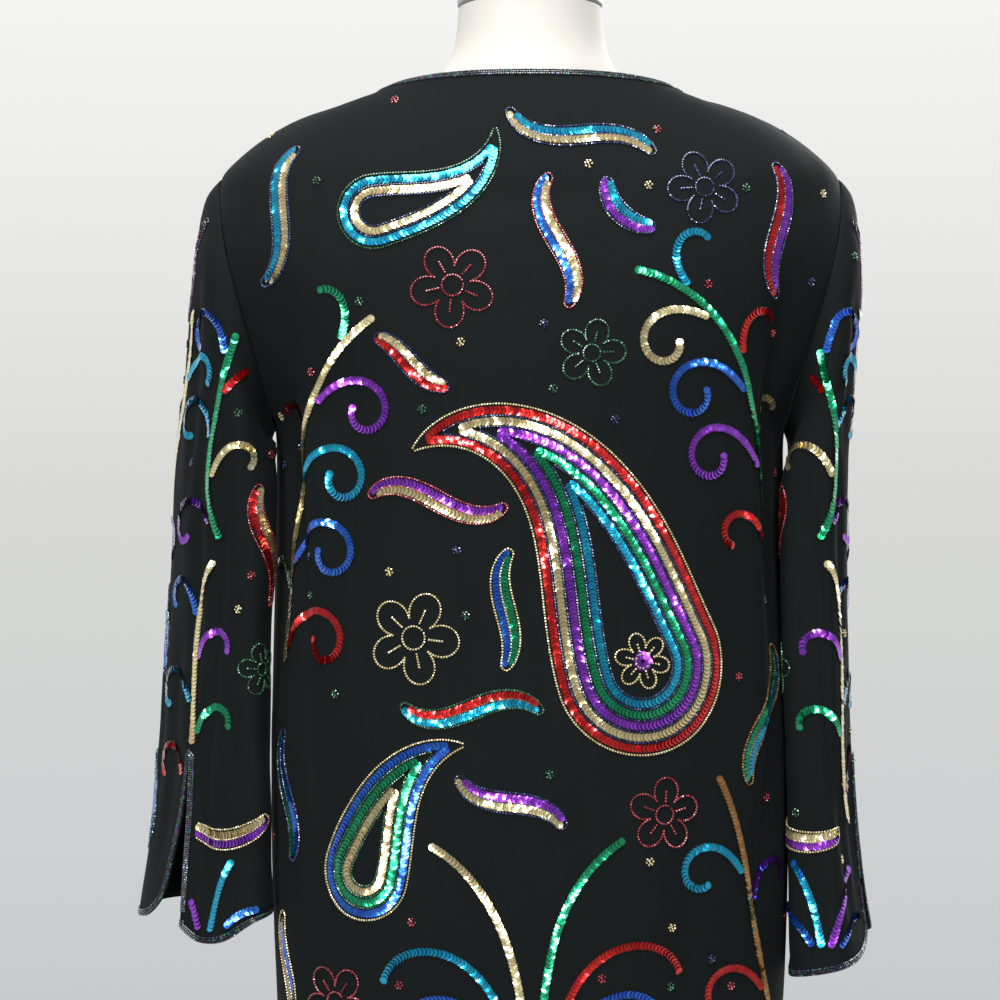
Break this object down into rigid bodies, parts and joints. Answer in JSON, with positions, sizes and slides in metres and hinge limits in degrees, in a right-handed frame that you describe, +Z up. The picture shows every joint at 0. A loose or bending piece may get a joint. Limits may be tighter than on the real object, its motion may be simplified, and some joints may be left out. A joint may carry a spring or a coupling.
{
  "type": "sequin jacket on dress form",
  "caption": "Collarless open-front evening jacket with padded shoulders and long split-cuff sleeves, hung on a smooth limbless dress form.",
  "frame": {"origin": "centre of the dress form's flat base", "axes": "+Z up, +Y towards the jacket's open front, -Y out of the jacket's back, +X towards the wearer's right"},
  "size_m": [0.5525, 0.2792, 0.8684],
  "materials": {
    "cloth": "black crepe-woven silk, matt",
    "sequins": "shallow plastic sequins with a mirror film, in violet, red, gold, emerald, turquoise, cobalt and bronze",
    "beads": "silver-lined glass bugle and seed beads in navy, red, green, gold and teal",
    "form_cover": "smooth cream knit cover",
    "form_trim": "satin grey"
  },
  "bodies": {
    "root": {"back_panel": "cloth", "front_panel_left": "cloth", "front_panel_right": "cloth", "sleeve_left": "cloth", "sleeve_right": "cloth", "form_torso": "form_cover", "form_base_board": "form_trim", "form_neck_cap": "form_trim"}
  },
  "joints": []
}
